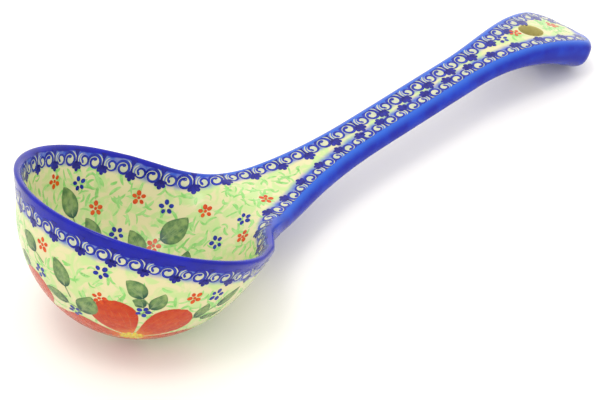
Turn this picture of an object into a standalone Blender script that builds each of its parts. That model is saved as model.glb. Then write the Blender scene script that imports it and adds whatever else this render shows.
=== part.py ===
"""Glazed stoneware soup ladle, built as a potter builds it: a bowl, and a bar handle luted to it.

Units are metres and +Z is up. The ladle is one loft, cut in two at the luting joint. It is drawn
upright first, with the bowl's axis along +Z and the handle towards +X, and is then tipped into
its rest pose, in which the bowl's underside and the handle's tip both stand on the table.

The loft's stations follow the rim line, which is the top edge as seen from the side, from the
bowl's centre to the handle's tip. Each station is a half section with two coordinates: across,
away from the plane of symmetry, and up, along the rim line's normal. In front of the bowl's
centre the first half section is swung round the bowl's axis instead.
"""
import math

import bmesh
import bpy
import numpy as np
from mathutils import Matrix, Vector

# Bowl
BOWL_RADIUS = 0.0470        # outside, at the rim, before the lip flares
FRONT_REACH = 0.0479        # from the bowl's axis to the front of the rim, before the lip flares
BOWL_DEPTH = 0.0518         # outside, from the rim to the bottom
FLOOR_THICKNESS = 0.0040
FULLNESS = 1.94             # 2 is an ellipse, more is squarer
LIP_RADIUS = 0.0014         # half the lip's thickness
LIP_FLARE = 0.0035          # how far the lip spreads beyond the bowl's own curve
LIP_FLARE_DEPTH = 0.0146    # height over which it spreads
FRONT_LIFT = -0.0015        # the rim at the front against its sides; it dips if negative

# Rim line, seen from the side
LOFT_LENGTH = 0.2561        # from the bowl's centre to the tip, along the rim line
RISE_START = 0.0380
RISE_LENGTH = 0.0390
RISE_ANGLE = math.radians(28.6)
CURL_START = 0.1829
CURL_LENGTH = 0.0891
CURL_ANGLE = math.radians(33.7)

# Handle
NECK_HALF_WIDTH = 0.0364
NECK_THICKNESS = 0.0155
NECK_START = 0.0282
NECK_LENGTH = 0.0983
NECK_TAPER = 2.57           # 1 is a straight taper, more is a quicker start
GRIP_HALF_WIDTH = 0.0103
GRIP_THICKNESS = 0.0076
END_HALF_WIDTH = 0.0206
END_THICKNESS = 0.0153
FLARE_START = 0.1782
FLARE_LENGTH = 0.0832
EDGE_RADIUS = 0.0037        # rounding of the top face's edges
EDGE_START = 0.0094
EDGE_LENGTH = 0.0470
UNDERSIDE_FULLNESS = 3.05
TIP_REACH = 0.0128          # length over which the tip's outline closes
TIP_FULLNESS = 1.66
TIP_ROUNDING = 0.0045       # length over which the tip's thickness rounds off
TIP_THINNING = 0.52         # share of the thickness that the rounding takes

# How softly the bowl runs into the handle
PLAN_SOFTNESS = 0.0075
INSIDE_SOFTNESS = 0.0184
OUTSIDE_SOFTNESS = 0.0141

# Hanging hole, luting joint and the two worn flats that the ladle stands on
HOLE_RADIUS = 0.0054
HOLE_STATION = 0.2244
JOINT_STATION = 0.060
JOINT_GAP = 0.0003
FOOT_WEAR = 0.0004

# Mesh density
FRONT_STEPS = 12            # meridians in the quarter turn from the side to the front
BOWL_STEPS = 12             # stations from the bowl's centre to the joint
HANDLE_STEPS = 40
TIP_STEPS = 7
OUTSIDE_STEPS = 12
LIP_STEPS = 5
INSIDE_STEPS = 10
HOLE_SIDES = 32
FINE_STEPS = 400            # for the rim line's own curve and the rest pose

WIDEST_EDGE = 0.96          # largest share of the half width that an edge's rounding takes
STRAIGHT_FROM = 0.9         # share of the bowl's radius past which its curve runs on straight
ARC_HANDLE = 0.5523         # handle length of a cubic curve that draws a quarter circle
LONGEST_HANDLE = 0.6        # the same, at most, for the flatter curves of the handle's top face
ELLIPSE = 2.0               # fullness of the plan and of the inside
STEEPEST_TILT = math.radians(60)
SHARP_ANGLE = math.radians(40)
TILT_TOLERANCE = 1e-7
LEAST_FALL = 1e-6           # keeps the inside's curve from dividing by nothing
LEAST_REACH = 1e-5
MERGE_DISTANCE = 1e-6
GLAZE_ROUGHNESS = 0.12
GLAZE_BLUE = (0.05, 0.07, 0.42, 1.0)
GLAZE_IVORY = (0.82, 0.78, 0.58, 1.0)


def ease(x):
    """Run smoothly from 0 to 1 as x does."""
    x = np.clip(x, 0.0, 1.0)
    return x * x * (3.0 - 2.0 * x)


def soft_max(a, b, softness):
    """Take the larger of two curves, with their crossing rounded off."""
    overlap = np.maximum(softness - np.abs(a - b), 0.0)
    return np.maximum(a, b) + overlap**2 / (4.0 * softness)


def bowl_quarter(fraction, fullness):
    """Fall from 1 at the bowl's axis towards 0 at its rim, and past that run on straight."""
    curved = np.minimum(fraction, STRAIGHT_FROM)
    fall = (1.0 - curved**fullness) ** (1.0 / fullness)
    edge = (1.0 - STRAIGHT_FROM**fullness) ** (1.0 / fullness - 1.0)
    slope = -(STRAIGHT_FROM ** (fullness - 1.0)) * edge
    return fall + slope * np.maximum(fraction - STRAIGHT_FROM, 0.0)


def rim_heading(s):
    """Angle of the rim line above the upright bowl's rim plane."""
    rise = RISE_ANGLE * ease((s - RISE_START) / RISE_LENGTH)
    curl = CURL_ANGLE * ease((s - CURL_START) / CURL_LENGTH)
    return rise - curl


def rim_point(s):
    """Place a station on the rim line, by adding up short steps along its heading."""
    edges = np.linspace(0.0, s, FINE_STEPS + 1)
    headings = rim_heading((edges[1:] + edges[:-1]) / 2.0)
    step = s / FINE_STEPS
    return np.cos(headings).sum() * step, BOWL_DEPTH + np.sin(headings).sum() * step


def along_handle(s, neck, grip, end):
    """One of the handle's measures, which tapers from neck to grip and then grows to the end."""
    taper = (1.0 - np.clip((s - NECK_START) / NECK_LENGTH, 0.0, 1.0)) ** NECK_TAPER
    flare = ease((s - FLARE_START) / FLARE_LENGTH)
    return grip + (neck - grip) * taper + (end - grip) * flare


def half_width(s):
    """Half of the ladle's width at a station, as seen from above."""
    handle = along_handle(s, NECK_HALF_WIDTH, GRIP_HALF_WIDTH, END_HALF_WIDTH)
    bowl = BOWL_RADIUS * bowl_quarter(s / BOWL_RADIUS, ELLIPSE)
    closing = np.clip((s - LOFT_LENGTH + TIP_REACH) / TIP_REACH, 0.0, 1.0)
    outline = (1.0 - closing**TIP_FULLNESS) ** (1.0 / TIP_FULLNESS)
    return soft_max(bowl, handle, PLAN_SOFTNESS) * outline


def inside_depth(s):
    """Depth of the inside, on the centre line, below the rim line."""
    radius = BOWL_RADIUS - 2.0 * LIP_RADIUS
    depth = BOWL_DEPTH - FLOOR_THICKNESS
    return max(soft_max(depth * bowl_quarter(s / radius, ELLIPSE), 0.0, INSIDE_SOFTNESS), 0.0)


def outside_depth(s):
    """Depth of the underside, on the centre line, below the rim line."""
    handle = along_handle(s, NECK_THICKNESS, GRIP_THICKNESS, END_THICKNESS)
    bowl = BOWL_DEPTH * bowl_quarter(s / BOWL_RADIUS, FULLNESS)
    return soft_max(bowl, handle, OUTSIDE_SOFTNESS)


def lip_radius(s, width):
    """Rounding of the edge: a thin rolled lip on the bowl, a bolder edge on the handle."""
    blend = ease((s - EDGE_START) / EDGE_LENGTH)
    radius = LIP_RADIUS + (EDGE_RADIUS - LIP_RADIUS) * blend
    return min(radius, WIDEST_EDGE * width)


def spread_lip(s, width, across, up):
    """Spread the section's top outwards, which leaves the handle as it is."""
    share = 1.0 - ease((s - EDGE_START) / EDGE_LENGTH)
    height = np.clip(1.0 + up / LIP_FLARE_DEPTH, 0.0, 1.0)
    return across * (1.0 + LIP_FLARE * share * height**2 / width)


def outside_curve(width, depth, radius, fullness):
    """Underside centre line up to the widest point of the edge."""
    angle = np.linspace(math.pi / 2.0, 0.0, OUTSIDE_STEPS)
    across = width * np.abs(np.cos(angle)) ** (2.0 / fullness)
    up = -radius - (depth - radius) * np.abs(np.sin(angle)) ** (2.0 / fullness)
    across[0] = 0.0
    return across, up


def lip_curve(width, radius, turn):
    """Round the edge from its widest point, over the top, through to its inner side."""
    angle = np.linspace(0.0, math.pi / 2.0 + turn, LIP_STEPS)
    return width - radius + radius * np.cos(angle), -radius + radius * np.sin(angle)


def inside_curve(start, depth, turn):
    """Cubic curve from the lip's inner side down to the inside's centre line."""
    across, up = start
    fall = max(depth + up, LEAST_FALL)
    if fall < across:
        radius = (across**2 + fall**2) / (2.0 * fall)
        reach = 4.0 / 3.0 * math.tan(turn / 4.0) * radius
        rim_reach = reach
        floor_reach = min(reach, LONGEST_HANDLE * across)
    else:
        rim_reach = ARC_HANDLE * fall
        floor_reach = ARC_HANDLE * across
    rim_reach = min(rim_reach, LONGEST_HANDLE * across + fall)
    ends = ((across, up), (across - rim_reach * math.cos(turn), up - rim_reach * math.sin(turn)),
            (floor_reach, -depth), (0.0, -depth))
    t = np.linspace(0.0, 1.0, INSIDE_STEPS)
    weights = ((1 - t) ** 3, 3 * t * (1 - t) ** 2, 3 * t**2 * (1 - t), t**3)
    curve = sum(np.outer(weight, end) for weight, end in zip(weights, ends))
    return curve[:, 0], curve[:, 1]


def half_section(s):
    """One half section, from the underside's centre line over the lip to the inside's."""
    width = half_width(s)
    depth = outside_depth(s)
    inside = inside_depth(s)
    radius = lip_radius(s, width)
    fullness = FULLNESS + (UNDERSIDE_FULLNESS - FULLNESS) * ease(s / BOWL_RADIUS - 1.0)
    turn = min(math.pi / 2.0, 2.0 * math.atan2(inside, max(width - radius, LEAST_REACH)))
    outer = outside_curve(width, depth, radius, fullness)
    lip = lip_curve(width, radius, turn)
    inner = inside_curve((lip[0][-1], lip[1][-1]), inside, turn)
    across = np.concatenate([outer[0], lip[0][1:], inner[0][1:]])
    up = np.concatenate([outer[1], lip[1][1:], inner[1][1:]])
    if width > 0.0:
        across = spread_lip(s, width, across, up)
    ending = np.clip((s - LOFT_LENGTH + TIP_ROUNDING) / TIP_ROUNDING, 0.0, 1.0)
    thickness = 1.0 - TIP_THINNING * (1.0 - math.sqrt(1.0 - ending**2))
    middle = -depth / 2.0
    return across, middle + (up - middle) * thickness


def station(s):
    """Row of points, upright, for one station behind the bowl's centre."""
    x, z = rim_point(s)
    heading = rim_heading(s)
    across, up = half_section(s)
    return np.column_stack([x - math.sin(heading) * up, across, z + math.cos(heading) * up])


def meridian(angle):
    """Row of points, upright, for one meridian in front of the bowl's centre (0 is the front)."""
    across, up = half_section(0.0)
    height = BOWL_DEPTH + up
    lift = FRONT_LIFT * math.cos(angle) ** 2 * height / BOWL_DEPTH
    x = -FRONT_REACH * math.cos(angle) * across / BOWL_RADIUS
    return np.column_stack([x, math.sin(angle) * across, height + lift])


def bowl_rows():
    fronts = [meridian(angle) for angle in np.linspace(0.0, math.pi / 2.0, FRONT_STEPS + 1)[:-1]]
    return fronts + [station(s) for s in np.linspace(0.0, JOINT_STATION, BOWL_STEPS + 1)]


def handle_rows():
    start = JOINT_STATION + JOINT_GAP
    bar = np.linspace(start, LOFT_LENGTH - TIP_REACH, HANDLE_STEPS + 1)
    turns = np.linspace(0.0, math.pi / 2.0, TIP_STEPS + 1)[1:]
    tip = LOFT_LENGTH - TIP_REACH * (1.0 - np.sin(turns))
    return [station(s) for s in np.concatenate([bar, tip])]


def rest_pose(bowl, handle):
    """Tip the upright ladle until bowl and tip stand level, with the bowl's foot at the origin."""
    bowl_profile = np.concatenate(bowl)
    handle_profile = np.concatenate(handle)

    def heights(points, tilt):
        return points[:, 2] * math.cos(tilt) - points[:, 0] * math.sin(tilt)

    low, high = 0.0, STEEPEST_TILT
    while high - low > TILT_TOLERANCE:
        tilt = (low + high) / 2.0
        if heights(handle_profile, tilt).min() > heights(bowl_profile, tilt).min():
            low = tilt
        else:
            high = tilt
    turn = Matrix.Rotation(tilt, 4, 'Y')
    foot = turn @ Vector(bowl_profile[heights(bowl_profile, tilt).argmin()])
    return Matrix.Translation((-foot.x, 0.0, -foot.z - FOOT_WEAR)) @ turn


def clear_scene():
    for item in list(bpy.data.objects):
        bpy.data.objects.remove(item, do_unlink=True)


def glaze(name, color):
    material = bpy.data.materials.new(name)
    material.use_nodes = True
    shader = material.node_tree.nodes["Principled BSDF"]
    shader.inputs["Base Color"].default_value = color
    shader.inputs["Roughness"].default_value = GLAZE_ROUGHNESS
    shader.inputs["Metallic"].default_value = 0.0
    return material


def skin_rows(mesh, rows, side):
    """Cover the rows of one half with faces, and return the half's vertices."""
    grid = [[mesh.verts.new((x, side * y, z)) for x, y, z in row] for row in rows]
    for row, following in zip(grid, grid[1:]):
        for j in range(len(row) - 1):
            corners = [row[j], row[j + 1], following[j + 1], following[j]]
            mesh.faces.new(corners if side > 0 else corners[::-1])
    return grid


def cap_row(mesh, row):
    """Close one half of a cut section with strips between its underside and its top."""
    last = len(row) - 1
    for j in range(len(row) // 2):
        corners = [row[j], row[j + 1], row[last - j - 1], row[last - j]]
        mesh.faces.new(dict.fromkeys(corners))


def wear_flat(mesh):
    """Grind away what reaches below the table, which leaves a true flat."""
    parts = mesh.verts[:] + mesh.edges[:] + mesh.faces[:]
    cut = bmesh.ops.bisect_plane(mesh, geom=parts, plane_co=(0, 0, 0), plane_no=(0, 0, 1),
                                 clear_inner=True)
    edges = [item for item in cut["geom_cut"] if isinstance(item, bmesh.types.BMEdge)]
    bmesh.ops.holes_fill(mesh, edges=edges, sides=0)


def loft(name, rows, capped_row, pose, material):
    """Build one closed body from half rows, mirrored across the plane of symmetry."""
    mesh = bmesh.new()
    for side in (1, -1):
        grid = skin_rows(mesh, rows, side)
        cap_row(mesh, grid[capped_row])
    bmesh.ops.remove_doubles(mesh, verts=mesh.verts[:], dist=MERGE_DISTANCE)
    bmesh.ops.dissolve_degenerate(mesh, edges=mesh.edges[:], dist=MERGE_DISTANCE)
    mesh.transform(pose)
    wear_flat(mesh)
    bmesh.ops.recalc_face_normals(mesh, faces=mesh.faces[:])
    data = bpy.data.meshes.new(name)
    mesh.to_mesh(data)
    mesh.free()
    data.shade_smooth()
    data.set_sharp_from_angle(angle=SHARP_ANGLE)
    data.materials.append(material)
    item = bpy.data.objects.new(name, data)
    bpy.context.scene.collection.objects.link(item)
    return item


def hole_cutter(pose):
    """Straight drill for the hanging hole, square to the handle's top face."""
    x, z = rim_point(HOLE_STATION)
    heading = rim_heading(HOLE_STATION)
    mesh = bmesh.new()
    bmesh.ops.create_cone(mesh, cap_ends=True, segments=HOLE_SIDES, radius1=HOLE_RADIUS,
                          radius2=HOLE_RADIUS, depth=4.0 * END_THICKNESS)
    data = bpy.data.meshes.new("hole_cutter")
    mesh.to_mesh(data)
    mesh.free()
    cutter = bpy.data.objects.new("hole_cutter", data)
    cutter.matrix_world = pose @ Matrix.Translation((x, 0.0, z)) @ Matrix.Rotation(-heading, 4, 'Y')
    cutter.display_type = 'WIRE'
    cutter.hide_render = True
    bpy.context.scene.collection.objects.link(cutter)
    return cutter


def make_bowl(rows, pose):
    return loft("bowl", rows, -1, pose, glaze("bowl_glaze", GLAZE_IVORY))


def make_handle(rows, pose):
    handle = loft("handle", rows, 0, pose, glaze("handle_glaze", GLAZE_BLUE))
    cut = handle.modifiers.new("hanging_hole", 'BOOLEAN')
    cut.operation = 'DIFFERENCE'
    cut.object = hole_cutter(pose)
    return handle


def main():
    clear_scene()
    bowl = bowl_rows()
    handle = handle_rows()
    pose = rest_pose(bowl, handle)
    make_bowl(bowl, pose)
    make_handle(handle, pose)


main()
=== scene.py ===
"""Visual model of the painted stoneware ladle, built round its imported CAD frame.

Two smooth glazed skins stand for the CAD's bowl and handle. They follow the same loft as the
CAD: stations run along the rim line from the bowl's centre to the handle's tip, and in front
of the bowl's centre the first half section is swung round the bowl's axis. The painting lies
on the skins as thin closed shells: every mark is a brush stroke, which is a flat strip that is
dropped onto the clay. Lengths are in metres, and lengths within a motif are in millimetres.
"""
import math

import bmesh
import bpy
import numpy as np
from mathutils import Matrix, Vector
from mathutils.bvhtree import BVHTree
from mathutils.kdtree import KDTree


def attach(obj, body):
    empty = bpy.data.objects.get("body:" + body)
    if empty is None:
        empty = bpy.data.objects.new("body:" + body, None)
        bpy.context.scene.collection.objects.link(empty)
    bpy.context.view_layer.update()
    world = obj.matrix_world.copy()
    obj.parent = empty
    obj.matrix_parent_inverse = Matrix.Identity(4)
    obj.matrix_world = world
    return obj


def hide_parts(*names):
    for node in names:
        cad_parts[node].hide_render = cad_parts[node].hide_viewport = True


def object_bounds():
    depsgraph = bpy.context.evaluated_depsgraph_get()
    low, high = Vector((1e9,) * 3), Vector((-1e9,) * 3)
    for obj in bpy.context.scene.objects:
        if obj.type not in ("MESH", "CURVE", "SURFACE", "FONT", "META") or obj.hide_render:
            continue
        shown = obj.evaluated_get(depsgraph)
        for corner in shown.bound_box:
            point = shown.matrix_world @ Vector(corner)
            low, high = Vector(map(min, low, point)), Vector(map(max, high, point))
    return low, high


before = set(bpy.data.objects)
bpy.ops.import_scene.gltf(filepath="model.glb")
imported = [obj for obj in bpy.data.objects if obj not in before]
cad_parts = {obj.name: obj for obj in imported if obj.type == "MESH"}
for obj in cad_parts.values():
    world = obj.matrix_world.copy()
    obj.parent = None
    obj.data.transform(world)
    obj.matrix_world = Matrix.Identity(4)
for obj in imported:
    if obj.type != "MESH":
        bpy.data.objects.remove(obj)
cad_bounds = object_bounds()

# -------- the clay, as in the CAD

# Bowl
BOWL_RADIUS = 0.0470        # outside, at the rim, before the lip flares
FRONT_REACH = 0.0479        # from the axis to the front of the rim, before the lip flares
BOWL_DEPTH = 0.0518         # outside, from the rim to the bottom
FLOOR_THICKNESS = 0.0040
FULLNESS = 1.94             # 2 is an ellipse, more is squarer
LIP_RADIUS = 0.0014         # half the lip's thickness
LIP_FLARE = 0.0035          # how far the lip spreads beyond the bowl's own curve
LIP_FLARE_DEPTH = 0.0146    # height over which it spreads
FRONT_LIFT = -0.0015        # the rim at the front against its sides; it dips if negative

# Rim line, seen from the side
LOFT_LENGTH = 0.2561        # from the bowl's centre to the tip, along the rim line
RISE_START = 0.0380
RISE_LENGTH = 0.0390
RISE_ANGLE = math.radians(28.6)
CURL_START = 0.1829
CURL_LENGTH = 0.0891
CURL_ANGLE = math.radians(33.7)

# Handle
NECK_HALF_WIDTH = 0.0364
NECK_THICKNESS = 0.0155
NECK_START = 0.0282
NECK_LENGTH = 0.0983
NECK_TAPER = 2.57           # 1 is a straight taper, more is a quicker start
GRIP_HALF_WIDTH = 0.0103
GRIP_THICKNESS = 0.0076
END_HALF_WIDTH = 0.0206
END_THICKNESS = 0.0153
FLARE_START = 0.1782
FLARE_LENGTH = 0.0832
EDGE_RADIUS = 0.0037        # rounding of the top face's edges
EDGE_START = 0.0094
EDGE_LENGTH = 0.0470
UNDERSIDE_FULLNESS = 3.05
TIP_REACH = 0.0128          # length over which the tip's outline closes
TIP_FULLNESS = 1.66
TIP_ROUNDING = 0.0045       # length over which the tip's thickness rounds off
TIP_THINNING = 0.52         # share of the thickness that the rounding takes

# How softly the bowl runs into the handle
PLAN_SOFTNESS = 0.0075
INSIDE_SOFTNESS = 0.0184
OUTSIDE_SOFTNESS = 0.0141

# Hanging hole, joint, and worn flats that the ladle stands on
HOLE_RADIUS = 0.0054
HOLE_STATION = 0.2244
HOLE_EASING = 0.0005        # rounding of the hole's two mouths
HOLE_CLEARANCE = 0.0040     # how far its cutter stands out of the clay
JOINT_STATION = 0.060
FOOT_WEAR = 0.0004

WIDEST_EDGE = 0.96          # largest share of the half width that an edge's rounding takes
STRAIGHT_FROM = 0.9         # share of the bowl's radius past which its curve runs on straight
ARC_HANDLE = 0.5523         # handle length of a cubic curve that draws a quarter circle
LONGEST_HANDLE = 0.6        # the same, at most, for flatter curves
ELLIPSE = 2.0               # fullness of the plan and of the inside
STEEPEST_TILT = math.radians(60)
TILT_TOLERANCE = 1e-7
LEAST_FALL = 1e-6           # keeps the inside's curve from dividing by 0
LEAST_REACH = 1e-5
LEAST_TURN = 0.02           # radians of the edge's rounding, so that its rows stay apart
FINE_STEPS = 400            # for the rim line's own curve

# Skin density
FRONT_STEPS = 64
STATION_STEP = 0.0011
TIP_STEPS = 16
OUTSIDE_STEPS = 56
LIP_STEPS = 9               # each side of the crest
INSIDE_STEPS = 50
HOLE_SIDES = 96
SEAM = 0.00005              # thin rows beside the joint, so that both skins shade alike there

# Painting
MM = 0.001
MIRROR = (1.0, -1.0, 1.0)
MERGE_DISTANCE = 2e-6
SHARP_ANGLE = math.radians(50)
EASING_STEPS = 6
BUMP_DEPTH = 0.0003
GLOSS = 0.17                # specular level of every glaze
COAT_ROUGHNESS = 0.05
GLAZE_SHARE = 0.70          # of a glaze colour, as the light whites out the floor
SINK = 0.12 * MM            # how far a stroke's shell reaches into the clay
LEAST_HALF_WIDTH = 0.03
SEED = 11

# Points along a stroke, and across it
TOUCH_STEPS = 9
ARC_STEPS = 11
LEAF_STEPS = 20
COIL_STEPS = 36
LINE_ACROSS = 3
TOUCH_ACROSS = 5
DISC_ACROSS = 7
LEAF_ACROSS = 9
PETAL_ACROSS = 13

# Motifs, in millimetres
STAMP_WIDTH = 13.0          # from palmette to palmette, as the stamp is drawn
CURL_CENTRE = (-2.75, 2.8)
CURL_RADIUS = 2.3
RING_CENTRE = (2.5, 2.9)
RING_RADIUS = 2.95
GROUND_INSET = 0.2          # of a pale ground inside its scroll
CURL_BRACKET = 2.95         # reach of the pale brackets round curl and ring
RING_BRACKET = 3.7
PALMETTE_LOBES = ((0.0, 4.0, 0.95), (0.62, 3.5, 0.85), (-0.62, 3.5, 0.85),
                  (1.2, 2.7, 0.7), (-1.2, 2.7, 0.7))        # turn, length and half width
LOBES_START = 3.7
BLOSSOM_REACH = 1.95
BLOSSOM_TOUCH = (1.05, 0.85)        # half length and half width
BLOSSOM_HEART = (0.7, 0.6)
LEAF_BEND = 0.8
LEAF_STEM = 5.0
LEAF_VEINS = (-0.55, -0.28, 0.0, 0.28, 0.55)                # shares of the half width
PETAL_VEINS = (-0.6, -0.3, 0.0, 0.3, 0.6)
PETALS = 5
HEART_RADIUS = 3.6
HEART_RINGS = ((0.0, 1, 1.4), (1.9, 6, 0.9), (3.6, 11, 0.8))        # radius, touches and size
HEART_TOUCH_STRETCH = 1.3
DASH_LENGTHS = (3.0, 6.0)
DASH_BEND = 1.2
DASH_HALF_WIDTHS = (0.3, 0.7)
DASH_OFF_CREST = 8.0        # clear of the border, and of the hole's edge
DASH_OFF_HOLE = 2.5

# Stage
FLOOR_SIZE = 4.0
FLOOR_CELLS = 40
WORLD_STRENGTH = 1.5
KEY_PLACE = Vector((-0.5, -0.1, 1.45))      # from the ladle's centre
KEY_SIZE = 0.5
KEY_POWER = 4.4
CAMERA_AZIMUTH = math.radians(-44.98)
CAMERA_ELEVATION = math.radians(37.67)
CAMERA_LENS = 129.96
CAMERA_DISTANCE = 0.8541
CAMERA_SHIFT = Vector((-0.02407, -0.00373, -0.02399))       # of its aim from the ladle's centre

# Blue bands, measured from the crest of the lip in millimetres
INSIDE_BAND = 2.6
OUTSIDE_BAND = 5.4
TOP_BAND = 0.6              # on the handle's top face
UNDER_BAND = 90.0           # over all of the handle's underside
UNDER_DELAY = 4             # power that keeps the outer band narrow till far along the neck
NECK_BAND_START = 0.030     # metres behind the foot, where the bowl's bands start to change
NECK_BAND_LENGTH = 0.035
HOLE_RIM = 0.3              # width of bare clay round the hole
BAND_EDGE = (-0.25, 0.35)   # where a band's colour sets in, and its washed border
WASH_EDGE = (-6.4, -3.2)
BAR_HIGHLIGHT_EDGE = (0.5, 4.0)         # painted highlight by the handle's edge, and a painted dark reflection streak below it
# where the painted dark reflection streak on the handle's side sets in and fades out, from the crest
BAR_REFLECTION_START = (5.0, 7.5)
BAR_REFLECTION_STOP = (8.0, 10.5)


def ease(x):
    """Run smoothly from 0 to 1 as x does."""
    x = np.clip(x, 0.0, 1.0)
    return x * x * (3.0 - 2.0 * x)


def soft_max(a, b, softness):
    """Take the larger of two curves, with their crossing rounded off."""
    overlap = np.maximum(softness - np.abs(a - b), 0.0)
    return np.maximum(a, b) + overlap**2 / (4.0 * softness)


def bowl_quarter(fraction, fullness):
    """Fall from 1 at the bowl's axis towards 0 at its rim, and past that run on straight."""
    curved = np.minimum(fraction, STRAIGHT_FROM)
    fall = (1.0 - curved**fullness) ** (1.0 / fullness)
    edge = (1.0 - STRAIGHT_FROM**fullness) ** (1.0 / fullness - 1.0)
    slope = -(STRAIGHT_FROM ** (fullness - 1.0)) * edge
    return fall + slope * np.maximum(fraction - STRAIGHT_FROM, 0.0)


def rim_heading(s):
    """Angle of the rim line above the upright bowl's rim plane."""
    rise = RISE_ANGLE * ease((s - RISE_START) / RISE_LENGTH)
    curl = CURL_ANGLE * ease((s - CURL_START) / CURL_LENGTH)
    return rise - curl


def rim_point(s):
    """Place a station on the rim line, by adding up short steps along its heading."""
    edges = np.linspace(0.0, s, FINE_STEPS + 1)
    headings = rim_heading((edges[1:] + edges[:-1]) / 2.0)
    step = s / FINE_STEPS
    return np.cos(headings).sum() * step, BOWL_DEPTH + np.sin(headings).sum() * step


def along_handle(s, neck, grip, end):
    """One of the handle's measures, which tapers from neck to grip and then grows to the end."""
    taper = (1.0 - np.clip((s - NECK_START) / NECK_LENGTH, 0.0, 1.0)) ** NECK_TAPER
    flare = ease((s - FLARE_START) / FLARE_LENGTH)
    return grip + (neck - grip) * taper + (end - grip) * flare


def half_width(s):
    """Half of the ladle's width at a station, as seen from above."""
    handle = along_handle(s, NECK_HALF_WIDTH, GRIP_HALF_WIDTH, END_HALF_WIDTH)
    bowl = BOWL_RADIUS * bowl_quarter(s / BOWL_RADIUS, ELLIPSE)
    closing = np.clip((s - LOFT_LENGTH + TIP_REACH) / TIP_REACH, 0.0, 1.0)
    outline = (1.0 - closing**TIP_FULLNESS) ** (1.0 / TIP_FULLNESS)
    return soft_max(bowl, handle, PLAN_SOFTNESS) * outline


def inside_depth(s):
    """Depth of the inside, on the centre line, below the rim line."""
    radius = BOWL_RADIUS - 2.0 * LIP_RADIUS
    depth = BOWL_DEPTH - FLOOR_THICKNESS
    return max(soft_max(depth * bowl_quarter(s / radius, ELLIPSE), 0.0, INSIDE_SOFTNESS), 0.0)


def outside_depth(s):
    """Depth of the underside, on the centre line, below the rim line."""
    handle = along_handle(s, NECK_THICKNESS, GRIP_THICKNESS, END_THICKNESS)
    bowl = BOWL_DEPTH * bowl_quarter(s / BOWL_RADIUS, FULLNESS)
    return soft_max(bowl, handle, OUTSIDE_SOFTNESS)


def lip_radius(s, width):
    """Rounding of the edge: a thin rolled lip on the bowl, a bolder edge on the handle."""
    blend = ease((s - EDGE_START) / EDGE_LENGTH)
    radius = LIP_RADIUS + (EDGE_RADIUS - LIP_RADIUS) * blend
    return min(radius, WIDEST_EDGE * width)


def spread_lip(s, width, across, up):
    """Spread the section's top outwards, which leaves the handle as it is."""
    share = 1.0 - ease((s - EDGE_START) / EDGE_LENGTH)
    height = np.clip(1.0 + up / LIP_FLARE_DEPTH, 0.0, 1.0)
    return across * (1.0 + LIP_FLARE * share * height**2 / width)


def outside_curve(width, depth, radius, fullness):
    """Underside centre line up to the widest point of the edge."""
    angle = np.linspace(math.pi / 2.0, 0.0, OUTSIDE_STEPS)
    across = width * np.abs(np.cos(angle)) ** (2.0 / fullness)
    up = -radius - (depth - radius) * np.abs(np.sin(angle)) ** (2.0 / fullness)
    across[0] = 0.0
    return across, up


def lip_curve(width, radius, turn):
    """Round the edge from its widest point over its crest, which is the middle point."""
    angle = np.concatenate([np.linspace(0.0, math.pi / 2.0, LIP_STEPS),
                            math.pi / 2.0 + np.linspace(0.0, turn, LIP_STEPS)[1:]])
    return width - radius + radius * np.cos(angle), -radius + radius * np.sin(angle)


def inside_curve(start, depth, turn):
    """Cubic curve from the lip's inner side down to the inside's centre line."""
    across, up = start
    fall = max(depth + up, LEAST_FALL)
    if fall < across:
        radius = (across**2 + fall**2) / (2.0 * fall)
        reach = 4.0 / 3.0 * math.tan(turn / 4.0) * radius
        rim_reach = reach
        floor_reach = min(reach, LONGEST_HANDLE * across)
    else:
        rim_reach = ARC_HANDLE * fall
        floor_reach = ARC_HANDLE * across
    rim_reach = min(rim_reach, LONGEST_HANDLE * across + fall)
    ends = ((across, up), (across - rim_reach * math.cos(turn), up - rim_reach * math.sin(turn)),
            (floor_reach, -depth), (0.0, -depth))
    t = np.linspace(0.0, 1.0, INSIDE_STEPS)
    weights = ((1 - t) ** 3, 3 * t * (1 - t) ** 2, 3 * t**2 * (1 - t), t**3)
    curve = sum(np.outer(weight, end) for weight, end in zip(weights, ends))
    return curve[:, 0], curve[:, 1]


def half_section(s):
    """One half section, from the underside's centre line over the lip to the inside's."""
    width = half_width(s)
    depth = outside_depth(s)
    inside = inside_depth(s)
    radius = lip_radius(s, width)
    fullness = FULLNESS + (UNDERSIDE_FULLNESS - FULLNESS) * ease(s / BOWL_RADIUS - 1.0)
    turn = 2.0 * math.atan2(inside, max(width - radius, LEAST_REACH))
    turn = min(max(turn, LEAST_TURN), math.pi / 2.0)
    outer = outside_curve(width, depth, radius, fullness)
    lip = lip_curve(width, radius, turn)
    inner = inside_curve((lip[0][-1], lip[1][-1]), inside, turn)
    across = np.concatenate([outer[0], lip[0][1:], inner[0][1:]])
    up = np.concatenate([outer[1], lip[1][1:], inner[1][1:]])
    if width > 0.0:
        across = spread_lip(s, width, across, up)
    ending = np.clip((s - LOFT_LENGTH + TIP_ROUNDING) / TIP_ROUNDING, 0.0, 1.0)
    thickness = 1.0 - TIP_THINNING * (1.0 - math.sqrt(1.0 - ending**2))
    middle = -depth / 2.0
    return across, middle + (up - middle) * thickness


def station(s):
    """Row of points, upright, for one station behind the bowl's centre."""
    x, z = rim_point(s)
    heading = rim_heading(s)
    across, up = half_section(s)
    return np.column_stack([x - math.sin(heading) * up, across, z + math.cos(heading) * up])


def meridian(angle):
    """Row of points, upright, for one meridian in front of the bowl's centre (0 is the front)."""
    across, up = half_section(0.0)
    height = BOWL_DEPTH + up
    lift = FRONT_LIFT * math.cos(angle) ** 2 * height / BOWL_DEPTH
    x = -FRONT_REACH * math.cos(angle) * across / BOWL_RADIUS
    return np.column_stack([x, math.sin(angle) * across, height + lift])


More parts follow.
